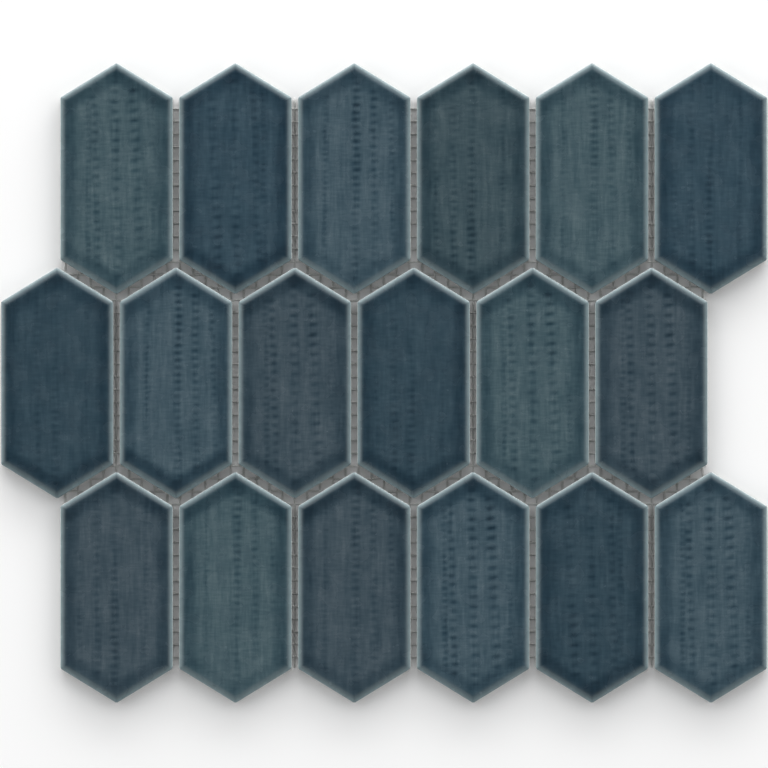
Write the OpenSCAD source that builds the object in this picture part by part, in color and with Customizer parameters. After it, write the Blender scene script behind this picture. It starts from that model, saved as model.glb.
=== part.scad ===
// A sheet of picket mosaic: glazed ceramic tiles, each a long hexagon with two points,
// set in staggered rows on a fibreglass backing mesh. The sheet lies flat with the
// glazed faces up. X runs along the rows, Y runs from point to point of a tile, and the
// underside of the mesh is at Z = 0 with the middle of the sheet over the origin.

/* [Tile] */
// Width of a tile, between its two long sides
tile_w = 45; // [30:0.5:80]
// Length of a tile, from point to point
tile_l = 92.5; // [75:0.5:160]
// Slope of the edges that run up to the points, in degrees from the rows
point_angle = 31.5; // [20:0.5:40]
// Thickness of a tile, from its back to its glazed face
tile_t = 7.5; // [5:0.25:14]

/* [Cushion edge] */
// How far the rounded edge reaches in over the face
edge_w = 3; // [1:0.25:5]
// How far the rounded edge falls below the face
edge_drop = 1.2; // [0.4:0.1:2]

/* [Keyed back] */
// Width of a keying groove pressed into the back
key_w = 4; // [2:0.5:6]
// Width of the rib that is left between two grooves
key_rib = 3.5; // [2:0.5:8]
// Depth of a groove
key_depth = 0.5; // [0.2:0.1:1.2]
// Flat margin between the ends of the grooves and the sides of the tile
key_margin = 4; // [2:0.5:7]

/* [Sheet] */
// Number of tiles in a row
columns = 6; // [2:1:8]
// Number of rows
rows = 3; // [1:1:5]
// Width of the joint between the long sides of two tiles
side_joint = 2.5; // [1.5:0.1:6]
// Width of the joint between the sloping edges of two tiles
end_joint = 3.2; // [1.5:0.1:6]

/* [Backing mesh] */
// Spacing of the threads, both ways
mesh_pitch = 5.1; // [3.5:0.1:10]
// Width of a flattened thread
thread_w = 0.9; // [0.4:0.05:1.4]
// Thickness of the mesh
mesh_t = 0.5; // [0.3:0.05:1]
// How far the mesh is trimmed back inside the outer edge of the tiles
mesh_trim = 0.6; // [0.2:0.1:3]

/* [Hidden] */
$fn = 48;
// Small overlap that lets a cut run clean through a face
slack = 1;

// Staggered layout: every second row is moved left by half a column
column_pitch = tile_w + side_joint;
row_pitch = tile_l + (end_joint - column_pitch / 2 * sin(point_angle)) / cos(point_angle);
stagger = column_pitch / 2;
first_x = -(columns - 1) / 2 * column_pitch + (rows > 1 ? stagger / 2 : 0);
first_y = (rows - 1) / 2 * row_pitch;

// The cushion edge is one arc, level where it leaves the face
edge_r = (edge_w * edge_w + edge_drop * edge_drop) / (2 * edge_drop);

// Keying grooves that fit between the margins
key_pitch = key_w + key_rib;
key_count = floor((tile_w - 2 * key_margin - key_w) / key_pitch) + 1;

// The mesh is drawn in strips of seven upright threads, cut midway between threads, with
// the middle thread of the middle strip on the centre line of the sheet
threads_aside = 3;
strip_w = (2 * threads_aside + 1) * mesh_pitch;
sheet_w = (columns - 1) * column_pitch + stagger + tile_w;
sheet_l = (rows - 1) * row_pitch + tile_l;
strips = 2 * ceil((sheet_w / strip_w - 1) / 2) + 1;
cross_threads = 2 * ceil(sheet_l / 2 / mesh_pitch);

// Glaze tones, and the tone of each tile in the rows from the top
grey_teal = "#475b62";
navy = "#364a56";
deep_navy = "#334751";
steel_blue = "#42555f";
slate = "#404f58";
green_grey = "#3f5158";
tone_rows = [
    [grey_teal, navy, steel_blue, green_grey, grey_teal, navy],
    [deep_navy, steel_blue, slate, deep_navy, grey_teal, slate],
    [slate, grey_teal, slate, steel_blue, deep_navy, steel_blue]
];
mesh_tone = "#a9b0ae";

function tone_of(row, column) =
    let (tones = tone_rows[(row - 1) % len(tone_rows)])
    tones[(column - 1) % len(tones)];

function tile_name(row, column) = str("tile_r", row, "_c", column);
function strip_name(k) = str("mesh_strip_", k);

// Middle of a tile; rows count from the top and columns from the left, both from 1
function row_x(row) = first_x - (row % 2 == 0 ? stagger : 0);
function tile_x(row, column) = row_x(row) + (column - 1) * column_pitch;
function tile_y(row) = first_y - (row - 1) * row_pitch;

// Corners of a tile's outline, drawn in by an inset on all six sides
function outline_points(inset) =
    let (half_w = tile_w / 2 - inset)
    let (tip = tile_l / 2 - inset / cos(point_angle))
    let (shoulder = tip - half_w * tan(point_angle))
    [
        [half_w, shoulder], [0, tip], [-half_w, shoulder],
        [-half_w, -shoulder], [0, -tip], [half_w, -shoulder]
    ];

// Cross-section of a tile between two opposite sides, with both top edges cushioned
module slab_profile(width) {
    square_w = width - 2 * edge_w;
    translate([-square_w / 2, 0])
        square([square_w, tile_t]);
    translate([-width / 2, 0])
        square([width, tile_t - edge_drop]);
    for (side = [0, 1])
        mirror([side, 0])
            intersection() {
                translate([square_w / 2, tile_t - edge_r])
                    circle(r = edge_r);
                translate([square_w / 2, 0])
                    square([edge_w, tile_t]);
            }
}

// A slab as long as the tile needs, with its cushioned sides facing left and right
module slab(width) {
    rotate([90, 0, 0])
        linear_extrude(height = 2 * tile_l, center = true)
            slab_profile(width);
}

// Keying grooves along the tile, kept inside the margin
module key_grooves() {
    translate([0, 0, -slack])
        linear_extrude(height = key_depth + slack)
            intersection() {
                polygon(outline_points(key_margin));
                for (i = [0:key_count - 1])
                    translate([(i - (key_count - 1) / 2) * key_pitch - key_w / 2, -tile_l / 2])
                        square([key_w, tile_l]);
            }
}

// One pressed tile: three slabs cross, so the cushion edges meet in mitres at the corners
module tile(tone) {
    color(tone)
        difference() {
            intersection() {
                slab(tile_w);
                rotate(90 - point_angle)
                    slab(tile_l * cos(point_angle));
                rotate(point_angle - 90)
                    slab(tile_l * cos(point_angle));
            }
            key_grooves();
        }
}

// Height at x of a tile's upper (up = 1) or lower (up = -1) sloping edge on one side
// (side = -1 left, 1 right), drawn in by the trim and carried on past its point
function slope_y(row, column, x, side, up) =
    tile_y(row) + up * (tile_l / 2 - mesh_trim / cos(point_angle)
        - side * (x - tile_x(row, column)) * tan(point_angle));

function side_x(row, side) =
    tile_x(row, side > 0 ? columns : 1) + side * (tile_w / 2 - mesh_trim);

// The two corners of the mesh where one row's side steps to the next row's
function step_points(row, side) =
    let (column = side > 0 ? columns : 1)
    let (lower_out = side * (side_x(row + 1, side) - side_x(row, side)) > 0)
    let (from = lower_out ? row + 1 : row)
    [
        for (r = [row, row + 1])
            [side_x(r, side), slope_y(from, column, side_x(r, side), side, lower_out ? 1 : -1)]
    ];

// The zigzag along the top (up = 1) or bottom (up = -1) row, from left to right
function zigzag_points(row, up) = concat(
    [[side_x(row, -1), slope_y(row, 1, side_x(row, -1), -1, up)]],
    [
        for (column = [1:columns]) each concat(
            [[tile_x(row, column), slope_y(row, column, tile_x(row, column), 1, up)]],
            column == columns ? [] : [[
                tile_x(row, column) + column_pitch / 2,
                slope_y(row, column, tile_x(row, column) + column_pitch / 2, 1, up)
            ]]
        )
    ],
    [[side_x(row, 1), slope_y(row, columns, side_x(row, 1), 1, up)]]
);

function reversed(points) = [for (i = [len(points) - 1:-1:0]) points[i]];

// Outline of the trimmed mesh, clockwise from the top left
mesh_outline = concat(
    zigzag_points(1, 1),
    rows > 1 ? [for (row = [1:rows - 1]) each step_points(row, 1)] : [],
    reversed(zigzag_points(rows, -1)),
    rows > 1 ? [for (row = [rows - 1:-1:1]) each reversed(step_points(row, -1))] : []
);

// A strip of the mesh: flat upright threads, fused with the threads that cross them
module mesh_strip(k) {
    middle = (k - (strips + 1) / 2) * strip_w;
    color(mesh_tone)
        linear_extrude(height = mesh_t)
            intersection() {
                polygon(mesh_outline);
                union() {
                    for (i = [-threads_aside:threads_aside])
                        translate([middle + i * mesh_pitch, 0])
                            square([thread_w, sheet_l], center = true);
                    for (j = [0:cross_threads - 1])
                        translate([middle, (j - (cross_threads - 1) / 2) * mesh_pitch])
                            square([strip_w, thread_w], center = true);
                }
            }
}

for (row = [1:rows]) for (column = [1:columns])
    translate([tile_x(row, column), tile_y(row), mesh_t])
            tile(tone_of(row, column));

for (k = [1:strips])
    mesh_strip(k);
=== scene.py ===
"""A picket mosaic sheet seen from straight above: glazed ceramic tiles on a fibreglass mesh."""

import logging
import math
from dataclasses import dataclass, field
from enum import Enum

import bmesh
import bpy
import numpy as np
from mathutils import Matrix, Vector


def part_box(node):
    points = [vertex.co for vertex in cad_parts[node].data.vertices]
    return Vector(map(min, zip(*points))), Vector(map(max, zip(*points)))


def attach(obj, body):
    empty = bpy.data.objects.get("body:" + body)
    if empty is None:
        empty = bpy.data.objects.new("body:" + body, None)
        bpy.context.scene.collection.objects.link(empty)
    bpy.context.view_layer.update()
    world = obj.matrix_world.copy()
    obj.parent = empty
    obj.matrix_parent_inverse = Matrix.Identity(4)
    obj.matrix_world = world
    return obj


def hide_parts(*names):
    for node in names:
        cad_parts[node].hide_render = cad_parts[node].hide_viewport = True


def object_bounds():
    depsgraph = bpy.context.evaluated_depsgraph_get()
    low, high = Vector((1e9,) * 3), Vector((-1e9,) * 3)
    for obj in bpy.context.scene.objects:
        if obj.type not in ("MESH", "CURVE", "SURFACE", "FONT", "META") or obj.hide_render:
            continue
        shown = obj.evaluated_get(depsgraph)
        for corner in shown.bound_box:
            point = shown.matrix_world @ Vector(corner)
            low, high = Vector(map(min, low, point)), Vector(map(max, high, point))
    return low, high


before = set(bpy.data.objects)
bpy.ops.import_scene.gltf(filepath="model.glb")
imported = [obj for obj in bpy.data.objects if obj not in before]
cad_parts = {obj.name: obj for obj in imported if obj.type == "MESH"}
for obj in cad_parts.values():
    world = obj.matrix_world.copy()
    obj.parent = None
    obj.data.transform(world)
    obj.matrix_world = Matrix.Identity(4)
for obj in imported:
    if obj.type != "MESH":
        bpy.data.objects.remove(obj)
CAD_BOX = [list(corner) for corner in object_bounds()]

MM = 0.001
BODY = "root"
POINT_ANGLE = math.radians(31.5)
SIGNS = (-1, 1)
SMOOTH = "SMOOTHSTEP"
WHITE = (1.0, 1.0, 1.0, 1.0)

log = logging.getLogger("picket_sheet")

Colour = tuple[float, float, float, float]
Size = tuple[float, float, float]


def linear(hex_colour: str) -> Colour:
    """Turn an sRGB hex colour into linear red, green, blue and alpha.

    Args:
        hex_colour: Six hex digits after a hash sign.

    Returns:
        The linear colour, with an alpha of 1.
    """
    parts = [int(hex_colour[i:i + 2], 16) / 255 for i in (1, 3, 5)]
    low = [p / 12.92 if p <= 0.04045 else ((p + 0.055) / 1.055) ** 2.4 for p in parts]
    return (low[0], low[1], low[2], 1.0)


def add_node(tree: bpy.types.NodeTree, kind: str, inputs: dict | tuple = (),
             output: int | str = 0, **settings: object) -> bpy.types.NodeSocket | None:
    """Add one shader node to a tree, with its settings and its links.

    Args:
        tree: The node tree.
        kind: The node's type name, without its "ShaderNode".
        inputs: A value or a socket for each input, in order, or by name or number.
        output: The output that is wanted, by name or number.
        settings: The node's properties.

    Returns:
        The wanted output, or None where the node has no outputs.
    """
    node = tree.nodes.new("ShaderNode" + kind)
    for name, value in settings.items():
        setattr(node, name, value)
    for key, value in inputs.items() if isinstance(inputs, dict) else enumerate(inputs):
        if isinstance(value, bpy.types.NodeSocket):
            tree.links.new(value, node.inputs[key])
        else:
            node.inputs[key].default_value = value
    return node.outputs[output] if node.outputs else None


def new_material(name: str) -> tuple[bpy.types.Material, bpy.types.NodeTree]:
    """Make an empty node material.

    Args:
        name: The material's name.

    Returns:
        The material and its cleared node tree.
    """
    material = bpy.data.materials.new(name)
    material.use_nodes = True
    material.node_tree.nodes.clear()
    return material, material.node_tree


def fade_out(distance: np.ndarray, start: float, end: float) -> np.ndarray:
    """Fall smoothly from 1 to 0 between two distances.

    Args:
        distance: The distances.
        start: Where the fall begins.
        end: Where it ends.

    Returns:
        A value for each distance.
    """
    share = np.clip((distance - start) / (end - start), 0, 1)
    return 1 - share * share * (3 - 2 * share)


@dataclass(frozen=True)
class Mottle:
    """A cloudy variation on Object coordinates, whose patches have a real size in millimetres."""

    patch_mm: Size
    detail: float = 2.0
    roughness: float = 0.5
    usual: tuple[float, float] = (0.3, 0.7)

    def value(self, tree: bpy.types.NodeTree) -> bpy.types.NodeSocket:
        """Add the variation to a tree.

        Args:
            tree: The material's node tree.

        Returns:
            Its value, about 0.5 on average.
        """
        place = add_node(tree, "TexCoord", output="Object")
        scale = tuple(1 / (size * MM) for size in self.patch_mm)
        scaled = add_node(tree, "Mapping", {"Vector": place, "Scale": scale})
        return add_node(tree, "TexNoise", {"Vector": scaled, "Scale": 1.0, "Detail": self.detail,
                                           "Roughness": self.roughness})

    def between(self, tree: bpy.types.NodeTree, low: float, high: float) -> bpy.types.NodeSocket:
        """Spread the variation over a range.

        Args:
            tree: The material's node tree.
            low: The least value.
            high: The greatest value.

        Returns:
            The spread value.
        """
        return add_node(tree, "MapRange", (self.value(tree), *self.usual, low, high),
                        interpolation_type=SMOOTH)


class Tone(Enum):
    """The glaze tones of the sheet: a name for each glaze material and the colour of the open field."""

    GREY_TEAL = ("glaze_grey_teal", "#455960")
    NAVY = ("glaze_navy", "#334854")
    DEEP_NAVY = ("glaze_deep_navy", "#314550")
    STEEL_BLUE = ("glaze_steel_blue", "#42555f")
    SLATE = ("glaze_slate", "#3f4e57")
    GREEN_GREY = ("glaze_green_grey", "#3c4e55")

    @property
    def slot(self) -> str:
        """The name, after "sprayed_", of this tone's glaze material."""
        return self.value[0]

    @property
    def field_colour(self) -> Colour:
        """The linear colour of the glaze where it lies evenly."""
        return linear(self.value[1])


@dataclass(frozen=True)
class Glaze:
    """Translucent blue glaze, sprayed and fired on pressed ceramic.

    It runs thin and pale over the arrises, where the clay shows through, and along the
    arrises a near-white colour, paler than the clay, is a painted highlight. It pools dark
    inside the cushion edge and in the pressed dashes, so the eye reads its depth. absorb is
    what one step of extra depth leaves of red, green and blue, and the spray's clouds, long
    streaks and fine cross lines each add their share of such a step.
    """

    tone: Tone
    absorb: tuple[float, float, float] = (0.53, 0.63, 0.68)
    thinnest: float = -0.75
    thickest: float = 2.75
    stops: int = 8
    clouds: Mottle = Mottle((9, 13, 9), 3, 0.6)
    cloud_share: float = 1.25
    streaks: Mottle = Mottle((1.4, 12, 5), 3, 0.6)
    streak_share: float = 1.9
    cross_lines: Mottle = Mottle((4, 0.7, 5), 2)
    cross_share: float = 1.15
    pool_range: tuple[float, float] = (0.85, 1.15)
    rim: str = "#7f9296"
    rim_keep: float = 0.54
    rim_curve: float = 1.85
    rim_patches: Mottle = Mottle((4, 4, 4), 2)
    rim_range: tuple[float, float] = (0.85, 1.05)
    # Painted highlight: the arris colour, paler than the bare clay, is thin glaze plus a painted
    # highlight along the very edge.
    arris_highlight: str = "#d6dfde"
    arris_highlight_mm: tuple[float, float] = (0.28, 0.03)
    arris_highlight_share: float = 1.0
    ripples: Mottle = Mottle((2.2, 3.5, 2.2), 3)
    ripple_height: float = 0.12 * MM
    ripple_strength: float = 0.2
    gloss_patches: Mottle = Mottle((8, 8, 8), 2)
    gloss: tuple[float, float] = (0.19, 0.30)
    ior: float = 1.5

    def depth(self, tree: bpy.types.NodeTree) -> bpy.types.NodeSocket:
        """Add up how deep the glaze lies: its pools, and the clouds and streaks of the spray.

        Args:
            tree: The material's node tree.

        Returns:
            The depth, 0 where the glaze lies evenly.
        """
        pool = add_node(tree, "Attribute", output="Fac", attribute_name="pool")
        uneven = self.clouds.between(tree, *self.pool_range)
        total = add_node(tree, "Math", (pool, uneven), operation="MULTIPLY")
        for spray, share in ((self.clouds, self.cloud_share), (self.streaks, self.streak_share),
                             (self.cross_lines, self.cross_share)):
            level = add_node(tree, "Math", (spray.value(tree), 0.5), operation="SUBTRACT")
            total = add_node(tree, "Math", (level, share, total), operation="MULTIPLY_ADD")
        return total

    def depth_colour(self, tree: bpy.types.NodeTree) -> bpy.types.NodeSocket:
        """Darken the field colour with the glaze's depth.

        Args:
            tree: The material's node tree.

        Returns:
            The colour.
        """
        span = self.thickest - self.thinnest
        share = add_node(tree, "Math", (self.depth(tree), 1 / span, -self.thinnest / span),
                         operation="MULTIPLY_ADD")
        colour = add_node(tree, "ValToRGB", (share,))
        steps = colour.node.color_ramp.elements
        for place in np.linspace(0, 1, self.stops)[1:-1]:
            steps.new(float(place))
        for step in steps:
            deep = self.thinnest + step.position * span
            light = [c * a ** deep for c, a in zip(self.tone.field_colour, self.absorb)]
            step.color = (*light, 1)
        return colour

    def rim_colour(self, tree: bpy.types.NodeTree,
                   colour: bpy.types.NodeSocket) -> bpy.types.NodeSocket:
        """Lay the pale, thin glaze of the edges over a colour, with a painted highlight along the
        arris.

        Args:
            tree: The material's node tree.
            colour: The colour inside the edges.

        Returns:
            The finished colour.
        """
        rim_mm = add_node(tree, "Attribute", output="Fac", attribute_name="rim_mm")
        curve = add_node(tree, "Math", (rim_mm, self.rim_curve), operation="POWER")
        fade = add_node(tree, "Math", (self.rim_keep, curve), operation="POWER")
        uneven = self.rim_patches.between(tree, *self.rim_range)
        thin = add_node(tree, "Math", (fade, uneven), operation="MULTIPLY")
        pale = add_node(tree, "Mix", {0: thin, 6: colour, 7: linear(self.rim)}, 2, data_type="RGBA")
        # Painted highlight: the near-white arris colour laid along the very edge.
        bare = add_node(tree, "MapRange", (rim_mm, *self.arris_highlight_mm, 0.0, self.arris_highlight_share),
                        interpolation_type=SMOOTH)
        return add_node(tree, "Mix", {0: bare, 6: pale, 7: linear(self.arris_highlight)}, 2, data_type="RGBA")

    def material(self) -> bpy.types.Material:
        """Build the glaze's material."""
        material, tree = new_material("sprayed_" + self.tone.slot)
        bump = add_node(tree, "Bump", {"Strength": self.ripple_strength, "Distance": self.ripple_height,
                                       "Height": self.ripples.value(tree)})
        shader = add_node(tree, "BsdfPrincipled", {
            "Base Color": self.rim_colour(tree, self.depth_colour(tree)), "Normal": bump,
            "Roughness": self.gloss_patches.between(tree, *self.gloss), "IOR": self.ior})
        add_node(tree, "OutputMaterial", (shader,))
        return material


@dataclass(frozen=True)
class Bisque:
    """Unglazed pressed clay on the sides and back: chalky, grey and finely pitted.

    Its dust and kiln stains keep it matt and uneven beside the glossy glaze.
    """

    clay: str = "#afb1ae"
    dust: str = "#8f928f"
    grain: Mottle = Mottle((0.5, 0.5, 0.5), 4, 0.7)
    grain_share: float = 0.4
    stains: Mottle = Mottle((14, 14, 9), 3, 0.6)
    stain_range: tuple[float, float] = (0.35, 0.65)
    pit_depth: float = 0.1 * MM
    pit_strength: float = 0.5
    roughness: float = 0.92

    def material(self) -> bpy.types.Material:
        """Build the clay's material."""
        material, tree = new_material("pressed_bisque_clay")
        grain = self.grain.value(tree)
        mixed = add_node(tree, "Mix", {0: self.grain_share, 2: self.stains.value(tree), 3: grain})
        shade = add_node(tree, "MapRange", (mixed, *self.stain_range), interpolation_type=SMOOTH)
        colour = add_node(tree, "Mix", {0: shade, 6: linear(self.dust), 7: linear(self.clay)}, 2,
                          data_type="RGBA")
        bump = add_node(tree, "Bump", {"Strength": self.pit_strength, "Distance": self.pit_depth,
                                       "Height": grain})
        shader = add_node(tree, "BsdfPrincipled", {"Base Color": colour, "Normal": bump,
                                                   "Roughness": self.roughness})
        add_node(tree, "OutputMaterial", (shader,))
        return material


@dataclass(frozen=True)
class Fibreglass:
    """Glass yarn in a stiff alkali-proof coating.

    The coating gives it a dull shine, and its fine filaments, drawn 0.3 mm wide so that they
    show, give it a grey grain.
    """

    yarn: str = "#ecedeb"
    shadow: str = "#dcdddb"
    filaments: Mottle = Mottle((0.3, 0.3, 0.3), 2, usual=(0.35, 0.65))
    filament_height: float = 0.05 * MM
    filament_strength: float = 0.4
    roughness: float = 0.55

    def material(self) -> bpy.types.Material:
        """Build the yarn's material."""
        material, tree = new_material("coated_fibreglass_yarn")
        shade = self.filaments.between(tree, 0, 1)
        colour = add_node(tree, "Mix", {0: shade, 6: linear(self.shadow), 7: linear(self.yarn)}, 2,
                          data_type="RGBA")
        bump = add_node(tree, "Bump", {"Strength": self.filament_strength,
                                       "Distance": self.filament_height,
                                       "Height": self.filaments.value(tree)})
        shader = add_node(tree, "BsdfPrincipled", {"Base Color": colour, "Normal": bump,
                                                   "Roughness": self.roughness})
        add_node(tree, "OutputMaterial", (shader,))
        return material


@dataclass(frozen=True)
class DashColumn:
    """One upright column of short pressed dashes, measured from the middle of a tile.

    x_mm is its place, lean_mm how far it moves right over 60 mm down the tile, first_mm how
    far the nearest dash lies below the middle, strengths run from the top to the bottom, and
    slant is how steeply the dashes rise to the right.
    """

    x_mm: float
    pitch_mm: float
    width_mm: float
    lean_mm: float
    first_mm: float
    strengths: tuple[float, ...]
    slant: float = 0.0


class Die(Enum):
    """The two press dies, each with its own columns of dashes."""

    WIDE = (
        DashColumn(-11.4, 2.57, 2.0, 0.4, 0.4, (0.6, 0.45, 0.6, 0.6, 0.6)),
        DashColumn(-8.3, 3.54, 2.6, 1.7, 2.5, (0.65, 0.7, 0.7, 0.7, 0.8)),
        DashColumn(0.0, 3.88, 3.2, 1.3, 0.0, (0.53, 0.86, 0.6, 0.55, 0.6)),
        DashColumn(8.1, 3.94, 3.6, 2.6, 0.1, (0.82, 1.1, 0.6, 0.6, 0.82), slant=0.14),
        DashColumn(14.6, 2.4, 2.0, 0.4, 0.0, (0.35, 0.3, 0.35, 0.45, 0.45)),
    )
    FINE = (
        DashColumn(-11.7, 2.29, 1.8, -0.6, 0.1, (0.3, 0.4, 0.45, 0.3, 0.35)),
        DashColumn(0.7, 2.89, 3.1, -0.2, 0.2, (0.45, 0.92, 0.58, 0.3, 0.55)),
        DashColumn(7.9, 3.11, 2.6, 0.6, 0.1, (0.47, 0.65, 0.43, 0.34, 0.38)),
        DashColumn(15.0, 2.91, 1.9, 1.2, 2.5, (0.45, 0.5, 0.38, 0.27, 0.27)),
    )


@dataclass(frozen=True)
class TilePlan:
    """What sets one tile apart.

    turned tells whether it lies upside down, pressed how deep its dashes are, and top and
    bottom how deep the glaze has pooled inside its two pairs of sloping edges.
    """

    tone: Tone
    die: Die
    turned: bool
    pressed: float
    top: float
    bottom: float


SHEET_PLAN: tuple[tuple[TilePlan, ...], ...] = (
    (
        TilePlan(Tone.GREY_TEAL, Die.WIDE, False, 0.84, top=1.2, bottom=0.8),
        TilePlan(Tone.NAVY, Die.WIDE, True, 0.67, top=0.85, bottom=1.3),
        TilePlan(Tone.STEEL_BLUE, Die.FINE, False, 1.4, top=1.1, bottom=0.55),
        TilePlan(Tone.GREEN_GREY, Die.FINE, True, 1.1, top=1.15, bottom=0.9),
        TilePlan(Tone.GREY_TEAL, Die.FINE, False, 0.88, top=0.9, bottom=0.7),
        TilePlan(Tone.NAVY, Die.FINE, True, 0.8, top=0.55, bottom=1.0),
    ),
    (
        TilePlan(Tone.DEEP_NAVY, Die.FINE, True, 0.57, top=0.85, bottom=1.15),
        TilePlan(Tone.STEEL_BLUE, Die.FINE, False, 1.4, top=1.15, bottom=1.75),
        TilePlan(Tone.SLATE, Die.WIDE, False, 0.87, top=1.55, bottom=1.15),
        TilePlan(Tone.DEEP_NAVY, Die.FINE, True, 0.72, top=0.8, bottom=1.1),
        TilePlan(Tone.GREY_TEAL, Die.WIDE, False, 0.86, top=1.4, bottom=0.65),
        TilePlan(Tone.SLATE, Die.WIDE, False, 0.94, top=1.5, bottom=1.2),
    ),
    (
        TilePlan(Tone.SLATE, Die.FINE, True, 0.82, top=1.5, bottom=0.9),
        TilePlan(Tone.GREY_TEAL, Die.FINE, False, 0.82, top=1.5, bottom=0.5),
        TilePlan(Tone.SLATE, Die.FINE, False, 0.92, top=1.6, bottom=0.75),
        TilePlan(Tone.STEEL_BLUE, Die.WIDE, False, 1.16, top=1.45, bottom=0.85),
        TilePlan(Tone.DEEP_NAVY, Die.WIDE, True, 0.73, top=0.8, bottom=1.15),
        TilePlan(Tone.STEEL_BLUE, Die.WIDE, False, 0.99, top=1.15, bottom=0.75),
    ),
)


@dataclass
class TileBlank:
    """The flat-faced tile that every tile starts from: a fine hexagonal grid with walls and a back."""

    half_w: float
    half_l: float
    height: float
    step_x: float = 0.9 * MM
    step_y: float = 0.5 * MM
    rings: tuple[float, ...] = (0.06, 0.14, 0.25, 0.5, 0.9, 1.4, 2.1, 3.0)
    corner_nip: float = 0.3 * MM
    glaze_run: float = 5.6 * MM
    key_w: float = 4 * MM
    key_pitch: float = 7.5 * MM
    key_depth: float = 0.5 * MM
    key_margin: float = 4 * MM
    bm: bmesh.types.BMesh = field(default_factory=bmesh.new)

    def everything(self) -> list:
        """All of the blank's vertices, edges and faces."""
        return self.bm.verts[:] + self.bm.edges[:] + self.bm.faces[:]

    def cut(self, geometry: list, point: tuple, normal: tuple, clear: bool = False) -> None:
        """Cut geometry with a plane.

        Args:
            geometry: What is cut.
            point: A point of the plane.
            normal: The plane's normal.
            clear: Whether what lies beyond the plane is removed.
        """
        bmesh.ops.bisect_plane(self.bm, geom=geometry, dist=1e-7, plane_co=point,
                               plane_no=normal, clear_outer=clear)

    def sides(self, inset: float) -> list[tuple[tuple, tuple]]:
        """The six sides of the outline as planes, drawn in by an inset.

        Args:
            inset: How far the planes are drawn in.

        Returns:
            A point and an outward normal for each side.
        """
        planes = [((s * (self.half_w - inset), 0, 0), (s, 0, 0)) for s in SIGNS]
        tip = self.half_l - inset / math.cos(POINT_ANGLE)
        for right in SIGNS:
            for up in SIGNS:
                normal = (right * math.sin(POINT_ANGLE), up * math.cos(POINT_ANGLE), 0)
                planes.append(((0, up * tip, 0), normal))
        return planes

    def face(self) -> None:
        """Make the face: a grid, trimmed to the hexagon and cut along its edges for the cushion."""
        size = Matrix.Diagonal((self.half_w, self.half_l, 1, 1))
        bmesh.ops.create_grid(self.bm, x_segments=round(2 * self.half_w / self.step_x),
                              y_segments=round(2 * self.half_l / self.step_y), size=1,
                              matrix=Matrix.Translation((0, 0, self.height)) @ size)
        for point, normal in self.sides(0):
            self.cut(self.everything(), point, normal, clear=True)
        for inset in self.rings:
            for point, normal in self.sides(inset * MM):
                self.cut(self.everything(), point, normal)
        self.nip_corners()

    def nip_corners(self) -> None:
        """Take the sharpness off the six upright corners."""
        shoulder = self.half_l - self.half_w * math.tan(POINT_ANGLE)
        lean = (math.pi / 2 - POINT_ANGLE) / 2
        corners = [((0, up * self.half_l), (0, up)) for up in SIGNS]
        for right in SIGNS:
            for up in SIGNS:
                corners.append(((right * self.half_w, up * shoulder),
                                (right * math.cos(lean), up * math.sin(lean))))
        for (x, y), (nx, ny) in corners:
            point = (x - nx * self.corner_nip, y - ny * self.corner_nip, 0)
            self.cut(self.everything(), point, (nx, ny, 0), clear=True)

    def walls(self) -> None:
        """Drop the walls in two stretches: the glaze that ran over the edge, then bare clay."""
        loop = [edge for edge in self.bm.edges if edge.is_boundary]
        for drop, bare in ((self.glaze_run, False), (self.height - self.glaze_run, True)):
            made = bmesh.ops.extrude_edge_only(self.bm, edges=loop)["geom"]
            low = [v for v in made if isinstance(v, bmesh.types.BMVert)]
            bmesh.ops.translate(self.bm, vec=(0, 0, -drop), verts=low)
            for item in made:
                if isinstance(item, bmesh.types.BMFace):
                    item.material_index = 1 if bare else 0
            loop = [e for e in made if isinstance(e, bmesh.types.BMEdge)
                    and all(v in set(low) for v in e.verts)]
        bmesh.ops.holes_fill(self.bm, edges=loop, sides=0)

    def back(self) -> None:
        """Press the keying grooves into the back."""
        self.bm.faces.ensure_lookup_table()
        count = math.floor((2 * (self.half_w - self.key_margin) - self.key_w) / self.key_pitch) + 1
        middles = [(i - (count - 1) / 2) * self.key_pitch for i in range(count)]
        planes = self.sides(self.key_margin)
        planes += [((x + s * self.key_w / 2, 0, 0), (1, 0, 0)) for x in middles for s in SIGNS]
        for point, normal in planes:
            flat = [f for f in self.bm.faces if abs(f.calc_center_median().z) < 1e-6]
            parts = set(flat)
            for f in flat:
                parts.update(f.edges)
                parts.update(f.verts)
            self.cut(list(parts), point, normal)
        pockets = []
        for f in self.bm.faces:
            centre = f.calc_center_median()
            if abs(centre.z) > 1e-6:
                continue
            f.material_index = 1
            inside = all((centre - Vector(point)).dot(Vector(normal)) < 0
                         for point, normal in self.sides(self.key_margin))
            if inside and any(abs(centre.x - x) < self.key_w / 2 for x in middles):
                pockets.append(f)
        made = bmesh.ops.extrude_face_region(self.bm, geom=pockets)["geom"]
        moved = [v for v in made if isinstance(v, bmesh.types.BMVert)]
        bmesh.ops.translate(self.bm, vec=(0, 0, self.key_depth), verts=moved)
        bmesh.ops.delete(self.bm, geom=pockets, context="FACES")

    def build(self) -> bpy.types.Mesh:
        """Make the whole blank.

        Returns:
            Its mesh, standing on Z = 0 about the origin.
        """
        self.face()
        self.walls()
        self.back()
        bmesh.ops.recalc_face_normals(self.bm, faces=self.bm.faces)
        for f in self.bm.faces:
            f.smooth = f.material_index == 0
        mesh = bpy.data.meshes.new("tile_blank")
        self.bm.to_mesh(mesh)
        self.bm.free()
        return mesh


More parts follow.
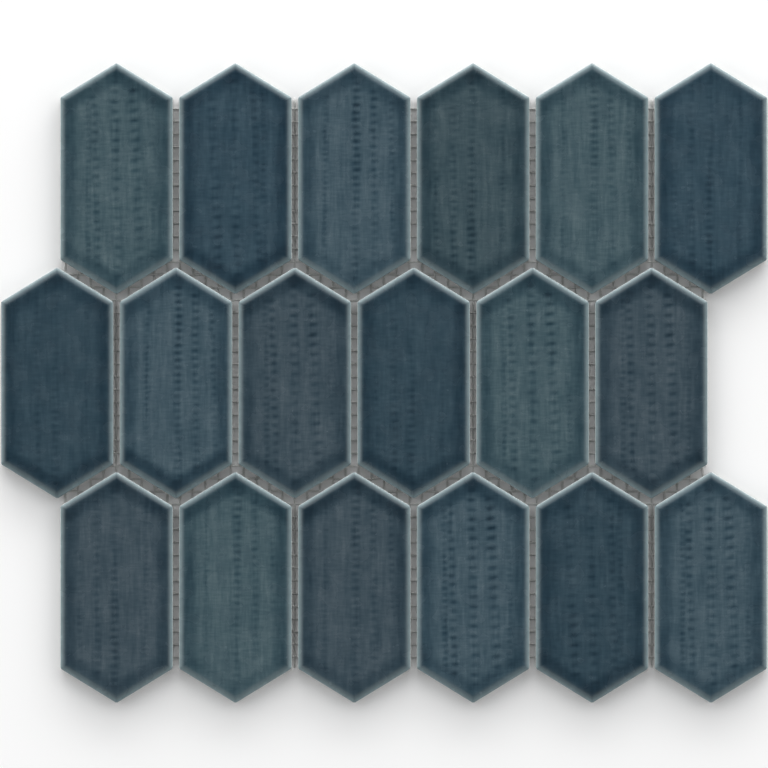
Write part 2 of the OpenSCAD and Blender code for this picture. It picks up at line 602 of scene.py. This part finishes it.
@dataclass
class PicketTile:
    """One picket tile: its pressed relief, cushion edge and glaze."""

    node: str
    plan: TilePlan
    blank: bpy.types.Mesh
    cushion_w: float = 3.0
    cushion_drop: float = 1.2
    lip: float = 0.25
    dash_depth: float = 0.10
    moat_depth: float = 0.05
    dash_half: float = 0.85
    dash_jitter: tuple[float, float] = (0.75, 1.2)
    dash_shift: float = 0.3
    dash_pool: float = 1.9
    side_pool: float = 1.0
    wall_rim: float = 0.7
    wall_pool: float = 0.5
    # Painted shade: along the lower sloping edges, which face away from the lamp, the rim starts past
    # the bright arris and spreads wider.
    shaded_lower_rim: tuple[float, float] = (0.15, 0.74)
    pool_blend: float = 1.5
    moat_at: float = 4.2
    moat_half: float = 1.4
    side_reach: tuple[float, float] = (4.2, 8.2)
    slope_reach: tuple[float, float] = (4.8, 9.0)
    plain_edge: tuple[float, float] = (3.4, 6.4)

    def edges(self, x: np.ndarray, y: np.ndarray, half_w: float,
              half_l: float) -> tuple[np.ndarray, np.ndarray]:
        """Measure how far points lie inside each side of the outline, in millimetres.

        Args:
            x: Places across the tile.
            y: Places along the tile.
            half_w: Half the tile's width.
            half_l: Half the tile's length.

        Returns:
            The distances to the two long sides, and to the upper and lower sloping sides.
        """
        cosine, sine = math.cos(POINT_ANGLE), math.sin(POINT_ANGLE)
        sides = [half_w - x, half_w + x]
        slopes = [half_l * cosine - up * y * cosine - right * x * sine
                  for up in (1, -1) for right in SIGNS]
        return np.stack(sides), np.stack(slopes)

    def pools(self, sides: np.ndarray, slopes: np.ndarray) -> np.ndarray:
        """Work out how deep the glaze has pooled inside the cushion edge.

        Args:
            sides: The distances to the long sides.
            slopes: The distances to the upper and lower sloping sides.

        Returns:
            The pooled depth for each place, deepest in the corners.
        """
        along = self.side_pool * fade_out(sides, *self.side_reach)
        across = fade_out(slopes, *self.slope_reach)
        across *= np.array([self.plan.top] * 2 + [self.plan.bottom] * 2)[:, None]
        both = np.concatenate([along, across]) ** self.pool_blend
        return both.sum(0) ** (1 / self.pool_blend)

    def dashes(self, x: np.ndarray, y: np.ndarray, half_l: float, seed: int) -> np.ndarray:
        """Work out how deep the pressed dashes are.

        Args:
            x: Places across the tile in millimetres.
            y: Places along the tile in millimetres.
            half_l: Half the tile's length in millimetres.
            seed: Picks the small differences between tiles.

        Returns:
            A depth for each place, from 0 to 1.
        """
        rng = np.random.default_rng(seed)
        turn = -1 if self.plan.turned else 1
        across, down = x * turn, -y * turn + rng.uniform(-0.6, 0.6)
        depth = np.zeros_like(x)
        for column in self.plan.die.value:
            middle = column.x_mm + column.lean_mm * down / 60
            count = np.round((down - column.first_mm) / column.pitch_mm)
            index = count.astype(int) + 60
            jitter = rng.uniform(*self.dash_jitter, 140)[index]
            shift = rng.uniform(-self.dash_shift, self.dash_shift, 140)[index]
            off_x = across - middle - shift
            off_y = down - column.first_mm - count * column.pitch_mm + shift / 2
            off_y += column.slant * off_x
            stops = np.linspace(-half_l, half_l, len(column.strengths))
            strength = np.interp(down, stops, column.strengths) * jitter
            wide = np.exp(-(np.abs(off_x) / (column.width_mm / 2)) ** 2.6)
            high = np.exp(-(np.abs(off_y) / self.dash_half) ** 2.0)
            depth = np.maximum(depth, strength * wide * high)
        return depth * self.plan.pressed

    def shape(self, mesh: bpy.types.Mesh, low: Vector, high: Vector) -> None:
        """Press the face, wrap the cushion edge and store what the glaze reads.

        Args:
            mesh: A copy of the blank.
            low: The node's lowest corner.
            high: The node's highest corner.
        """
        count = len(mesh.vertices)
        co = np.empty(count * 3, np.float32)
        mesh.vertices.foreach_get("co", co)
        co = co.reshape(-1, 3).astype(float)
        x, y = co[:, 0] / MM, co[:, 1] / MM
        half_w, half_l = (high.x - low.x) / 2 / MM, (high.y - low.y) / 2 / MM
        sides, slopes = self.edges(x, y, half_w, half_l)
        nearest = np.maximum(np.minimum(sides.min(0), slopes.min(0)), 0)
        seed = sum(ord(letter) * (i + 7) for i, letter in enumerate(self.node))
        dash = self.dashes(x, y, half_l, seed) * (1 - fade_out(nearest, *self.plain_edge))
        radius = (self.cushion_w ** 2 + self.cushion_drop ** 2) / (2 * self.cushion_drop)
        run = np.clip(self.cushion_w - nearest, 0, None)
        cushion = radius - np.sqrt(radius ** 2 - run ** 2)
        roll = np.clip(self.lip - nearest, 0, None)
        lip = self.lip - np.sqrt(self.lip ** 2 - roll ** 2)
        moat = np.exp(-((nearest - self.moat_at) / self.moat_half) ** 2)
        drop = cushion + lip + self.dash_depth * dash + self.moat_depth * moat
        top = co[:, 2] > co[:, 2].max() - 1e-6
        co[top, 2] -= drop[top] * MM
        co += np.array([(low.x + high.x) / 2, (low.y + high.y) / 2, low.z])
        mesh.vertices.foreach_set("co", co.astype(np.float32).ravel())
        pool = self.pools(sides, slopes) + self.dash_pool * dash
        # Painted shade: the lower sloping edges face away from the lamp, so there the painted arris
        # highlight is weaker and the pale rim is drawn wider and softer.
        shade_rim_start, shade_rim_rate = self.shaded_lower_rim
        lower = shade_rim_start + shade_rim_rate * np.maximum(slopes[2:].min(0), 0)
        rim = np.where(slopes[2:].min(0) < np.minimum(sides.min(0), slopes[:2].min(0)), lower, nearest)
        below = self.wall_rim * (high.z - drop * MM - co[:, 2]) / MM
        for name, face, wall in (("rim_mm", rim, below), ("pool", pool, self.wall_pool)):
            layer = mesh.attributes.new(name, "FLOAT", "POINT")
            layer.data.foreach_set("value", np.where(top, face, wall).astype(np.float32))
        mesh.update()

    def build(self, glaze: bpy.types.Material, clay: bpy.types.Material) -> bpy.types.Object:
        """Make the tile and put it where its node is.

        Args:
            glaze: The glaze's material.
            clay: The bare clay's material.

        Returns:
            The finished piece.
        """
        low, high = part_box(self.node)
        mesh = self.blank.copy()
        mesh.name = self.node + "_glazed"
        self.shape(mesh, low, high)
        mesh.materials.append(glaze)
        mesh.materials.append(clay)
        piece = bpy.data.objects.new(self.node + "_glazed", mesh)
        bpy.context.scene.collection.objects.link(piece)
        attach(piece, BODY)
        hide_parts(self.node)
        return piece


@dataclass
class PicketRows:
    """All the tiles of the sheet, in staggered rows."""

    plan: tuple[tuple[TilePlan, ...], ...] = SHEET_PLAN

    def build(self) -> list[bpy.types.Object]:
        """Make every tile from one blank.

        Returns:
            The tiles, row by row.
        """
        low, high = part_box("tile_r1_c1")
        blank = TileBlank((high.x - low.x) / 2, (high.y - low.y) / 2, high.z - low.z).build()
        glazes = {tone: Glaze(tone).material() for tone in Tone}
        clay = Bisque().material()
        pieces = []
        for r, row in enumerate(self.plan, 1):
            for c, plan in enumerate(row, 1):
                tile = PicketTile(f"tile_r{r}_c{c}", plan, blank)
                pieces.append(tile.build(glazes[plan.tone], clay))
        bpy.data.meshes.remove(blank)
        return pieces


@dataclass
class LenoMesh:
    """The backing mesh: flat cross yarns, each bound by pairs of thin twisted yarns."""

    pitch: float = 5.1 * MM
    cross_w: float = 0.9 * MM
    cross_t: float = 0.3 * MM
    twist_w: float = 0.42 * MM
    twist_t: float = 0.2 * MM
    twist_reach: float = 0.26 * MM
    twist_rise: float = 0.13 * MM
    trim: float = 0.6 * MM
    scan_step: float = 0.1 * MM
    nodes: list[str] = field(default_factory=list)
    bm: bmesh.types.BMesh = field(default_factory=bmesh.new)

    def inside(self, x: np.ndarray, y: np.ndarray) -> np.ndarray:
        """Say which points lie on the trimmed sheet, joints included.

        Args:
            x: Places across the sheet.
            y: Places along the sheet.

        Returns:
            True for each point on the sheet.
        """
        boxes = {name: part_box(name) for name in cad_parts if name.startswith("tile_")}
        first, second = boxes["tile_r1_c1"], boxes["tile_r1_c2"]
        pitch = second[0].x - first[0].x
        joint = pitch - (first[1].x - first[0].x)
        half_l = (first[1].y - first[0].y) / 2
        row = first[0].y - boxes["tile_r2_c1"][0].y
        end_joint = (row - 2 * half_l + pitch / 2 * math.tan(POINT_ANGLE)) * math.cos(POINT_ANGLE)
        cosine, sine = math.cos(POINT_ANGLE), math.sin(POINT_ANGLE)
        result = np.ones(x.shape, bool)
        quarter = math.pi / 2
        slopes = [s * POINT_ANGLE + up * quarter for s in SIGNS for up in SIGNS]
        for angle in (0, math.pi, *slopes):
            upright = abs(math.cos(angle)) > 0.99
            reach = self.trim + (joint if upright else end_joint) / 2
            px, py = x + math.cos(angle) * reach, y + math.sin(angle) * reach
            hit = np.zeros(x.shape, bool)
            for low, high in boxes.values():
                dx, dy = np.abs(px - (low.x + high.x) / 2), np.abs(py - (low.y + high.y) / 2)
                grown = half_l * cosine + end_joint / 2 + 1e-5
                hit |= (dx < pitch / 2 + 1e-5) & (dy * cosine + dx * sine < grown)
            result &= hit
        return result

    def runs(self, along: np.ndarray, mask: np.ndarray) -> list[tuple[float, float]]:
        """Find the stretches where a mask holds.

        Args:
            along: Places along a line.
            mask: True where the line is on the sheet.

        Returns:
            The start and end of each stretch.
        """
        padded = np.concatenate([[False], mask, [False]])
        flips = np.flatnonzero(padded[1:] != padded[:-1])
        return [(along[a], along[b - 1]) for a, b in zip(flips[::2], flips[1::2])
                if along[b - 1] - along[a] > self.cross_w]

    def yarn(self, start: float, end: float, width: float, thick: float,
             pieces: int, sides: int) -> tuple[bpy.types.Mesh, np.ndarray]:
        """Make one straight yarn along Y as a flattened tube with rings along it.

        Args:
            start: Where it starts.
            end: Where it ends.
            width: Its width.
            thick: Its thickness.
            pieces: How many stretches it is cut into.
            sides: How many sides its cross-section has.

        Returns:
            Its mesh and its vertices' places.
        """
        small = bmesh.new()
        bmesh.ops.create_cone(small, cap_ends=True, segments=sides, radius1=0.5, radius2=0.5,
                              depth=end - start,
                              matrix=Matrix.Rotation(math.pi / 2, 4, "X"))
        long_edges = [e for e in small.edges if abs(e.verts[0].co.y - e.verts[1].co.y) > 1e-6]
        bmesh.ops.subdivide_edges(small, edges=long_edges, cuts=pieces - 1)
        bmesh.ops.recalc_face_normals(small, faces=small.faces)
        for f in small.faces:
            f.smooth = True
        mesh = bpy.data.meshes.new("yarn")
        small.to_mesh(mesh)
        small.free()
        co = np.empty(len(mesh.vertices) * 3, np.float32)
        mesh.vertices.foreach_get("co", co)
        co = co.reshape(-1, 3).astype(float) * (width, 1, thick) + (0, (start + end) / 2, 0)
        return mesh, co

    def place(self, mesh: bpy.types.Mesh, co: np.ndarray) -> None:
        """Add a yarn with its final places to the mesh."""
        mesh.vertices.foreach_set("co", co.astype(np.float32).ravel())
        mesh.update()
        self.bm.from_mesh(mesh)
        bpy.data.meshes.remove(mesh)

    def cross_yarns(self, span_x: float, span_y: float, middle: float) -> None:
        """Lay the flat yarns that run along X.

        Args:
            span_x: Half the sheet's width.
            span_y: Half the sheet's length.
            middle: The height of the yarns' middle.
        """
        count = math.ceil(span_y / self.pitch)
        for j in range(-count, count):
            y = (j + 0.5) * self.pitch
            along = np.arange(-span_x, span_x, self.scan_step)
            for a, b in self.runs(along, self.inside(along, np.full_like(along, y))):
                pieces = max(1, round((b - a) / self.pitch))
                mesh, co = self.yarn(a, b, self.cross_w, self.cross_t, pieces, 6)
                wobble = 0.12 * MM * np.sin(co[:, 1] / (17 * MM) + j)
                placed = np.stack([co[:, 1], -co[:, 0] + y + wobble, co[:, 2] + middle], 1)
                self.place(mesh, placed)

    def twisted_pairs(self, span_x: float, span_y: float, middle: float) -> None:
        """Wind the pairs of thin yarns that run along Y round the cross yarns.

        Args:
            span_x: Half the sheet's width.
            span_y: Half the sheet's length.
            middle: The height of the yarns' middle.
        """
        count = math.floor(span_x / self.pitch)
        for i in range(-count, count + 1):
            x = i * self.pitch
            along = np.arange(-span_y, span_y, self.scan_step)
            for a, b in self.runs(along, self.inside(np.full_like(along, x), along)):
                pieces = max(2, round((b - a) / self.pitch * 3))
                for strand in SIGNS:
                    mesh, co = self.yarn(a, b, self.twist_w, self.twist_t, pieces, 4)
                    turn = math.pi * (co[:, 1] / self.pitch - 0.5)
                    co[:, 0] += x + strand * self.twist_reach * np.sin(turn)
                    co[:, 2] += middle + strand * self.twist_rise * np.cos(turn)
                    self.place(mesh, co)

    def build(self) -> bpy.types.Object:
        """Make the whole mesh as one piece.

        Returns:
            The finished piece.
        """
        boxes = [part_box(name) for name in self.nodes]
        low_z, high_z = boxes[0][0].z, boxes[0][1].z
        span_x = max(max(abs(low.x), abs(high.x)) for low, high in boxes)
        span_y = max(max(abs(low.y), abs(high.y)) for low, high in boxes)
        middle = (low_z + high_z) / 2
        self.cross_yarns(span_x, span_y, middle)
        self.twisted_pairs(span_x, span_y, middle)
        mesh = bpy.data.meshes.new("backing_mesh")
        self.bm.to_mesh(mesh)
        self.bm.free()
        mesh.materials.append(Fibreglass().material())
        piece = bpy.data.objects.new("backing_mesh", mesh)
        bpy.context.scene.collection.objects.link(piece)
        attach(piece, BODY)
        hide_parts(*self.nodes)
        return piece


@dataclass
class Studio:
    """A white floor, a low soft lamp, a pale room all round and a camera straight above.

    The floor is lifted a little where the camera sees it beyond the sheet, and less in the
    joints, so these keep their own shade.
    """

    sheet_half: tuple[float, float]
    sheet_top: float
    frame_w: float = 306.81 * MM
    photo_drop: float = -0.42 * MM
    camera_rise: float = 6.0
    sensor: float = 36.0
    floor_half: float = 4.0
    floor_gap: float = 0.05 * MM
    floor_white: str = "#fbfbfb"
    floor_lift: float = 0.02
    lift_from: tuple[float, float] = (35 * MM, 28 * MM)
    lift_fade: float = 10 * MM
    joint_lift: float = 0.2
    lamp_place: Size = (0.1, 1.6, 0.54)
    lamp_size: tuple[float, float] = (2.6, 0.5)
    lamp_watts: float = 18.5
    room_level: float = 1.0
    card_level: float = 0.05
    card_half: tuple[float, float] = (0.55, 0.28)
    card_edge: tuple[float, float] = (0.7, 1.3)
    room_lean: Size = (-0.06, 0.85, 0.0)

    def lift(self, tree: bpy.types.NodeTree) -> bpy.types.NodeSocket:
        """Work out how much light the floor adds by itself.

        Camera, glossy and transmission rays see it, in full beyond the sheet only.

        Args:
            tree: The floor's node tree.

        Returns:
            The strength of the light.
        """
        rays = add_node(tree, "LightPath").node
        seen = rays.outputs["Is Camera Ray"]
        for kind in ("Is Glossy Ray", "Is Transmission Ray"):
            seen = add_node(tree, "Math", (seen, rays.outputs[kind]), operation="MAXIMUM")
        place = add_node(tree, "TexCoord", output="Object")
        away = add_node(tree, "VectorMath", (place,), operation="ABSOLUTE")
        sides = add_node(tree, "SeparateXYZ", (away,)).node
        beyond = 0.0
        for axis, (half, inset) in enumerate(zip(self.sheet_half, self.lift_from)):
            start = half - inset
            out = add_node(tree, "MapRange", (sides.outputs[axis], start, start + self.lift_fade,
                                              self.joint_lift, 1.0), interpolation_type=SMOOTH)
            beyond = add_node(tree, "Math", (out, beyond), operation="MAXIMUM")
        share = add_node(tree, "Math", (seen, beyond), operation="MULTIPLY")
        return add_node(tree, "Math", (share, self.floor_lift), operation="MULTIPLY")

    def floor(self) -> bpy.types.Object:
        """Lay the white floor just under the sheet."""
        material, tree = new_material("matt_white_floor")
        white = add_node(tree, "BsdfDiffuse", {"Color": linear(self.floor_white)})
        glow = add_node(tree, "Emission", {"Color": WHITE, "Strength": self.lift(tree)})
        both = add_node(tree, "AddShader", (white, glow))
        add_node(tree, "OutputMaterial", (both,))
        bm = bmesh.new()
        bmesh.ops.create_grid(bm, x_segments=4, y_segments=4, size=self.floor_half,
                              matrix=Matrix.Translation((0, 0, -self.floor_gap)))
        mesh = bpy.data.meshes.new("floor")
        bm.to_mesh(mesh)
        bm.free()
        mesh.materials.append(material)
        floor = bpy.data.objects.new("floor", mesh)
        bpy.context.scene.collection.objects.link(floor)
        return floor

    def lamp(self) -> bpy.types.Object:
        """Set the long, low soft lamp beyond the top edge of the sheet."""
        data = bpy.data.lights.new("soft_lamp", "AREA")
        data.shape = "RECTANGLE"
        data.size, data.size_y = self.lamp_size
        data.energy = self.lamp_watts
        lamp = bpy.data.objects.new("soft_lamp", data)
        lamp.location = self.lamp_place
        lamp.rotation_euler = (-Vector(self.lamp_place)).to_track_quat("-Z", "Y").to_euler()
        lamp.visible_camera = False
        bpy.context.scene.collection.objects.link(lamp)
        return lamp

    def room(self) -> bpy.types.World:
        """Light the scene from a pale room, brighter beyond the top edge of the sheet.

        A dark oval card round the lens keeps the room out of the level glaze.
        """
        world = bpy.data.worlds.new("pale_room")
        world.use_nodes = True
        tree = world.node_tree
        tree.nodes.clear()
        way = add_node(tree, "TexCoord", output="Generated")
        across, along = (1 / half for half in self.card_half)
        spread = add_node(tree, "VectorMath", (way, (across, along, 0.0)), operation="MULTIPLY")
        away = add_node(tree, "VectorMath", (spread,), "Value", operation="LENGTH")
        level = add_node(tree, "MapRange", (away, *self.card_edge, self.card_level, self.room_level),
                         interpolation_type=SMOOTH)
        lean = add_node(tree, "VectorMath", (way, self.room_lean), "Value", operation="DOT_PRODUCT")
        strength = add_node(tree, "Math", (level, lean, level), operation="MULTIPLY_ADD")
        back = add_node(tree, "Background", {"Color": WHITE, "Strength": strength})
        add_node(tree, "OutputWorld", (back,))
        bpy.context.scene.world = world
        return world

    def camera(self) -> bpy.types.Object:
        """Set the camera straight above, with a long lens, framed as the photo is."""
        data = bpy.data.cameras.new("camera")
        data.type = "PERSP"
        data.sensor_width = self.sensor
        data.lens = self.sensor * self.camera_rise / self.frame_w
        data.clip_end = 4 * self.camera_rise
        camera = bpy.data.objects.new("camera", data)
        camera.location = (0, self.photo_drop, self.sheet_top + self.camera_rise)
        bpy.context.scene.collection.objects.link(camera)
        bpy.context.scene.camera = camera
        return camera

    def build(self) -> None:
        """Make the camera, the floor, the lamp and the room."""
        self.camera()
        self.floor()
        self.lamp()
        self.room()
        bpy.context.scene.view_settings.view_transform = "Standard"


def triangles(piece: bpy.types.Object) -> int:
    """Count the triangles of a piece."""
    return sum(len(face.vertices) - 2 for face in piece.data.polygons)


def main() -> None:
    """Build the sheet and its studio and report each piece."""
    logging.basicConfig(level=logging.INFO, format="%(name)s: %(message)s")
    strips = sorted(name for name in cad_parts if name.startswith("mesh_strip_"))
    pieces = PicketRows().build()
    pieces.append(LenoMesh(nodes=strips).build())
    for piece in pieces:
        log.info("%s: %d triangles", piece.name, triangles(piece))
    half_x, half_y, top = CAD_BOX[1]
    Studio((half_x, half_y), top).build()


if __name__ == "__main__":
    main()
